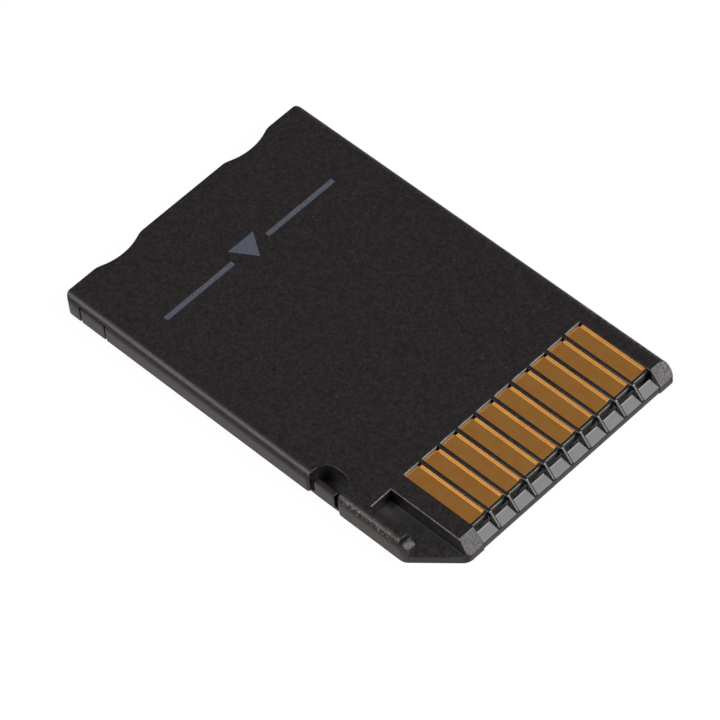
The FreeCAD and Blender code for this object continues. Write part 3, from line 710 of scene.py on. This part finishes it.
class ADAPTER_OT_notch_floor(bpy.types.Operator):
    """Close the mouth of the latch notch beside the block with a thin web of the lid"""
    bl_idname = "adapter.notch_floor"
    bl_label = "Notch floor"

    def execute(self, context):
        deselect_all()
        bpy.ops.mesh.primitive_cube_add(size=1, location=(WEB_LOW + WEB_HIGH) / 2 * MM)
        web = bpy.context.object
        web.name = "notch_floor"
        web.scale = (WEB_HIGH - WEB_LOW) * MM
        settle(web)
        finish_modifier(web, "BEVEL", width=WEB_ROUND * MM, segments=EDGE_SEGMENTS)
        bpy.ops.object.shade_smooth_by_angle(angle=SMOOTH_ANGLE)
        web.data.materials.append(bpy.data.materials["black_moulding"])
        carry(web)
        return {"FINISHED"}


class ADAPTER_OT_gold_pads(bpy.types.Operator):
    """Finish the gold contact pads"""
    bl_idname = "adapter.gold_pads"
    bl_label = "Gold pads"

    def execute(self, context):
        look = context.scene.adapter.pad
        dress("contact_pad_", plated_gold("plated_gold", look, look.roughness))
        return {"FINISHED"}


class ADAPTER_OT_inner_parts(bpy.types.Operator):
    """Finish the board, comb, springs and parts under the board"""
    bl_idname = "adapter.inner_parts"
    bl_label = "Inner parts"

    def execute(self, context):
        look = context.scene.adapter.pad
        dress("spring_contact_", plated_gold("spring_gold", look, look.roughness * 1.3))
        dress("circuit_board", laminate())
        dress("controller_leads", tinned_metal())
        for start, finish in PLAIN_BODIES.items():
            dress(start, plain_body(*finish))
        return {"FINISHED"}


def soft_box(name, direction, size, power):
    """A square soft box that faces the card from a direction."""
    light = bpy.data.lights.new(name, "AREA")
    light.shape = "SQUARE"
    light.size = size
    light.energy = power
    box = bpy.data.objects.new(name, light)
    away = Vector(direction).normalized()
    box.location = away * LAMP_DISTANCE
    box.rotation_euler = away.to_track_quat("Z", "Y").to_euler()
    bpy.context.scene.collection.objects.link(box)


def pale_floor(look):
    """Floor that is near white to the camera with a faint shadow, and dimmer and warm in gloss."""
    finish = Finish("pale_floor")
    seen = finish.node("ShaderNodeLightPath", out="Is Camera Ray")
    mirrored = finish.node("ShaderNodeLightPath", out="Is Glossy Ray")
    passed = finish.node("ShaderNodeLightPath", out="Is Transmission Ray")
    matt = finish.node("ShaderNodeBsdfDiffuse", sockets={"Color": FLOOR_MATT})
    white = finish.node("ShaderNodeEmission", sockets={"Color": WHITE, "Strength": 1.0})
    dim = finish.node("ShaderNodeEmission", sockets={
        "Color": FLOOR_IN_GLOSS, "Strength": look.floor_mirrored})
    share = seen.either(passed) * (1 - look.floor_shade)
    mixed = finish.node("ShaderNodeMixShader", sockets={0: share, 1: matt, 2: white})
    mixed = finish.node("ShaderNodeMixShader", sockets={0: mirrored, 1: mixed, 2: dim})
    finish.tree.links.new(mixed.socket, finish.output.inputs["Surface"])
    return finish.material


class ADAPTER_OT_studio(bpy.types.Operator):
    """Set the floor, the room's light, three soft boxes and the camera"""
    bl_idname = "adapter.studio"
    bl_label = "Studio"

    def execute(self, context):
        look = context.scene.adapter.studio
        deselect_all()
        bpy.ops.mesh.primitive_plane_add(size=FLOOR_SIZE)
        floor = bpy.context.object
        floor.name = "floor"
        floor.data.materials.append(pale_floor(look))
        soft_box("key_box", (0.42, -0.6, 0.70), 0.34, look.key_light)
        soft_box("side_box", (-0.50, 0.457, 0.735), 0.36, look.side_light)
        soft_box("front_box", (0.40, -0.88, 0.25), 0.3, look.front_light)
        self.set_world(context, look)
        self.set_camera(context, look)
        context.scene.view_settings.view_transform = "Standard"
        return {"FINISHED"}

    def set_world(self, context, look):
        world = bpy.data.worlds.new("room")
        context.scene.world = world
        world.use_nodes = True
        tree = world.node_tree
        tree.nodes.clear()
        path = tree.nodes.new("ShaderNodeLightPath")
        mix = tree.nodes.new("ShaderNodeMix")
        mix.data_type = "RGBA"
        mix.inputs[MIX_FIRST].default_value = opaque([look.sky] * 3)
        mix.inputs[MIX_SECOND].default_value = WHITE
        background = tree.nodes.new("ShaderNodeBackground")
        output = tree.nodes.new("ShaderNodeOutputWorld")
        tree.links.new(path.outputs["Is Camera Ray"], mix.inputs[MIX_FACTOR])
        tree.links.new(mix.outputs[MIX_RESULT], background.inputs["Color"])
        tree.links.new(background.outputs[0], output.inputs["Surface"])

    def set_camera(self, context, look):
        back = Vector((
            math.sin(look.azimuth) * math.cos(look.elevation),
            -math.cos(look.azimuth) * math.cos(look.elevation),
            math.sin(look.elevation)))
        right = Vector((math.cos(look.azimuth), math.sin(look.azimuth), 0))
        axes = Matrix((right, back.cross(right), back)).transposed().to_4x4()
        turned = axes @ Matrix.Rotation(look.roll, 4, "Z")
        data = bpy.data.cameras.new("camera")
        data.lens = look.lens
        data.sensor_width = SENSOR_WIDTH
        camera = bpy.data.objects.new("camera", data)
        place = turned @ Vector((look.aim[0], look.aim[1], look.distance))
        camera.matrix_world = Matrix.Translation(place) @ turned
        context.scene.collection.objects.link(camera)
        context.scene.camera = camera


class AdapterLooks(bpy.types.PropertyGroup):
    """Everything that a user may change."""
    shell: PointerProperty(type=ShellLook, name="Shells", description="The two moulded shells")
    mark: PointerProperty(type=MarkLook, name="Mark", description="The printed insertion mark")
    pad: PointerProperty(type=PadLook, name="Pads", description="The gold pads")
    studio: PointerProperty(type=StudioLook, name="Studio", description="Camera, lamps and floor")


class ADAPTER_PT_panel(bpy.types.Panel):
    """Sidebar panel with the adapter's steps and settings"""
    bl_label = "Memory card adapter"
    bl_idname = "ADAPTER_PT_panel"
    bl_space_type = "VIEW_3D"
    bl_region_type = "UI"
    bl_category = "Adapter"

    def draw(self, context):
        looks = context.scene.adapter
        for step in STEPS:
            self.layout.operator(step.bl_idname)
        for group in (looks.shell, looks.mark, looks.pad, looks.studio):
            box = self.layout.box()
            for key in group.__annotations__:
                box.prop(group, key)


STEPS = (
    ADAPTER_OT_studio, ADAPTER_OT_shells, ADAPTER_OT_notch_floor, ADAPTER_OT_gold_pads,
    ADAPTER_OT_inner_parts)
GROUPS = (ShellLook, MarkLook, PadLook, StudioLook, AdapterLooks)


def register():
    for item in GROUPS + STEPS + (ADAPTER_PT_panel,):
        bpy.utils.register_class(item)
    bpy.types.Scene.adapter = PointerProperty(type=AdapterLooks)


def unregister():
    del bpy.types.Scene.adapter
    for item in reversed(GROUPS + STEPS + (ADAPTER_PT_panel,)):
        bpy.utils.unregister_class(item)


def main():
    register()
    bpy.ops.adapter.studio()
    bpy.ops.adapter.shells()
    bpy.ops.adapter.notch_floor()
    bpy.ops.adapter.gold_pads()
    bpy.ops.adapter.inner_parts()


if __name__ == "__main__":
    main()
